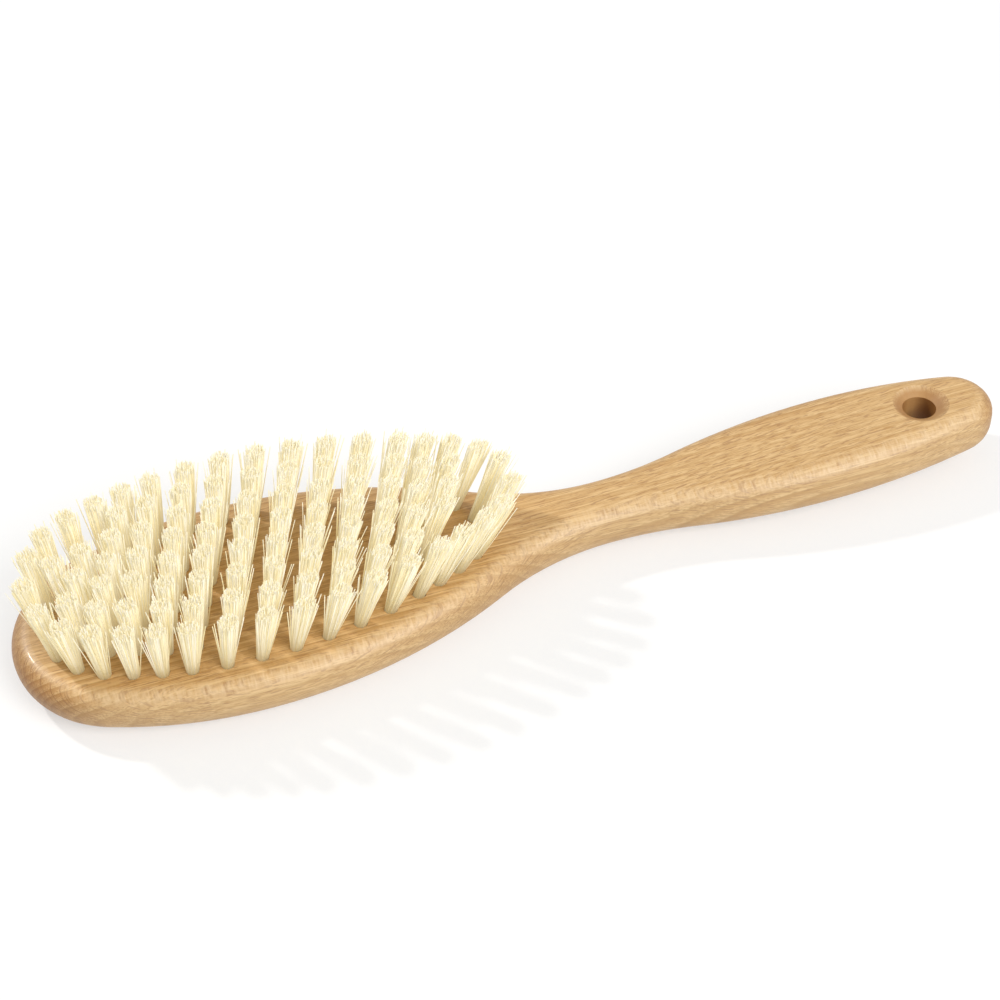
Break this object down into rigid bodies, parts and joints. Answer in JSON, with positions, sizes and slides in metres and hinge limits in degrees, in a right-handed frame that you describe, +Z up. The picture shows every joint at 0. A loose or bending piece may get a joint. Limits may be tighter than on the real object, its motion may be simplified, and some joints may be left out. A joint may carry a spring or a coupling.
{
  "type": "vegetable brush",
  "caption": "Wooden vegetable brush: a one-piece beech body with an oval head, slim waist and hanging hole, set with fanned tufts of stiff plant fibre.",
  "frame": {"origin": "midway along the body, on the plane of the flat back that it rests on", "axes": "+X from the nose of the head to the end of the handle, +Z up out of the head's face, the way the tufts stand"},
  "size_m": [0.235, 0.0604, 0.0282],
  "materials": {
    "beech": "sanded and oiled beech",
    "fibre": "stiff bundled plant fibre, cut flat",
    "anchor_wire": "flat drawn wire"
  },
  "bodies": {
    "root": {"anchor_row_01": "anchor_wire", "anchor_row_02": "anchor_wire", "anchor_row_03": "anchor_wire", "anchor_row_04": "anchor_wire", "anchor_row_05": "anchor_wire", "anchor_row_06": "anchor_wire", "anchor_row_07": "anchor_wire", "anchor_row_08": "anchor_wire", "anchor_row_09": "anchor_wire", "anchor_row_10": "anchor_wire", "anchor_row_11": "anchor_wire", "anchor_row_12": "anchor_wire", "anchor_row_13": "anchor_wire", "anchor_row_14": "anchor_wire", "anchor_row_15": "anchor_wire", "anchor_row_16": "anchor_wire", "anchor_row_17": "anchor_wire", "beech_body": "beech", "bristle_row_01": "fibre", "bristle_row_02": "fibre", "bristle_row_03": "fibre", "bristle_row_04": "fibre", "bristle_row_05": "fibre", "bristle_row_06": "fibre", "bristle_row_07": "fibre", "bristle_row_08": "fibre", "bristle_row_09": "fibre", "bristle_row_10": "fibre", "bristle_row_11": "fibre", "bristle_row_12": "fibre", "bristle_row_13": "fibre", "bristle_row_14": "fibre", "bristle_row_15": "fibre", "bristle_row_16": "fibre", "bristle_row_17": "fibre"}
  },
  "joints": []
}
